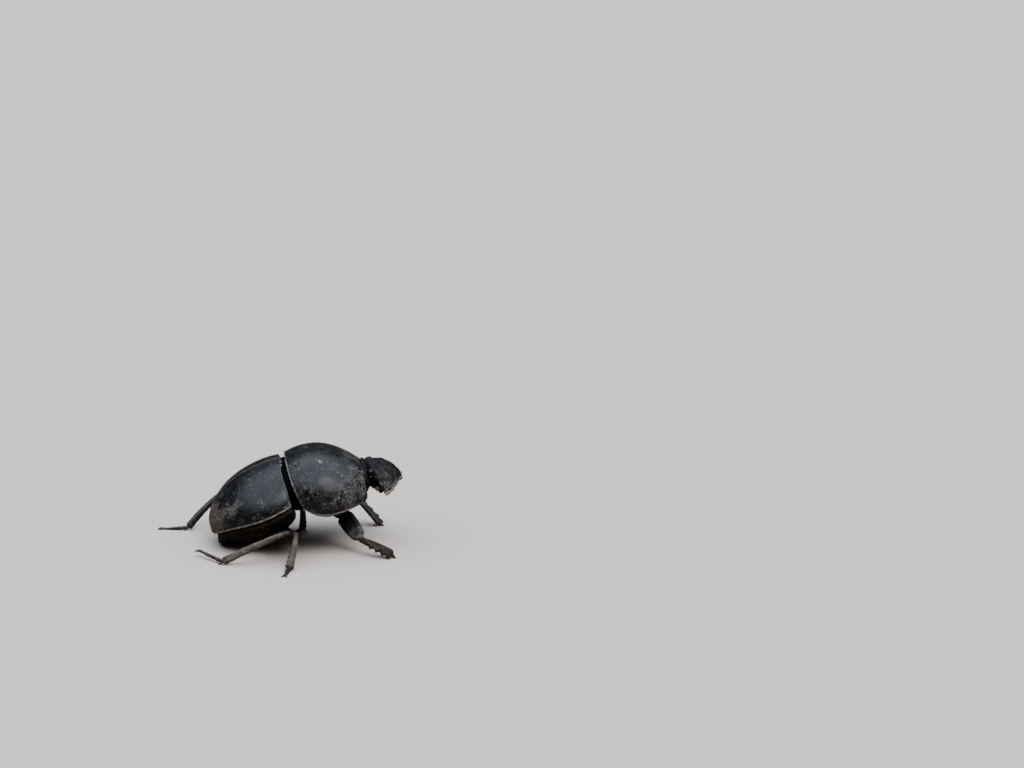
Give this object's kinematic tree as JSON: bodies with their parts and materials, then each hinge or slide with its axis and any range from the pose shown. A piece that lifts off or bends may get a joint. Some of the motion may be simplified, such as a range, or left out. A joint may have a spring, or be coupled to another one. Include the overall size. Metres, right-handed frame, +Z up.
{
  "type": "flightless dung beetle",
  "caption": "Life-size still dung beetle standing on six legs, with domed wing cases, a wide rounded shield and a shovel-shaped head.",
  "frame": {"origin": "centre of the model's footprint box, on the surface that the feet stand on", "axes": "+X towards the head, +Y to the beetle's left, +Z up"},
  "size_m": [0.0466, 0.0402, 0.0184],
  "materials": {
    "shell": "satin black cuticle with a blue-grey sheen and fine pale dust",
    "underside": "very dark brown-black cuticle, dull, with short hairs",
    "eye": "glossy black bead",
    "leg": "satin black cuticle, scratched and a little dusty",
    "shin": "black cuticle under grey-brown dust",
    "feeler": "dark brown, paler at the clubs"
  },
  "bodies": {
    "root": {"antenna_club_left": "feeler", "antenna_club_right": "feeler", "antenna_stalk_left": "feeler", "antenna_stalk_right": "feeler", "coxa_fore_left": "leg", "coxa_fore_right": "leg", "coxa_hind_left": "leg", "coxa_hind_right": "leg", "coxa_mid_left": "leg", "coxa_mid_right": "leg", "elytron_left": "shell", "elytron_right": "shell", "eye_left": "eye", "eye_right": "eye", "femur_fore_left": "leg", "femur_fore_right": "leg", "femur_hind_left": "leg", "femur_hind_right": "leg", "femur_mid_left": "leg", "femur_mid_right": "leg", "fore_body": "underside", "head": "shell", "hind_body": "underside", "mid_body": "underside", "mouthparts": "underside", "neck": "underside", "palp_left": "feeler", "palp_right": "feeler", "pronotum": "shell", "pygidium": "underside", "tarsus_hind_left": "shin", "tarsus_hind_right": "shin", "tarsus_mid_left": "shin", "tarsus_mid_right": "shin", "tibia_fore_left": "shin", "tibia_fore_right": "shin", "tibia_hind_left": "shin", "tibia_hind_right": "shin", "tibia_mid_left": "shin", "tibia_mid_right": "shin"}
  },
  "joints": []
}
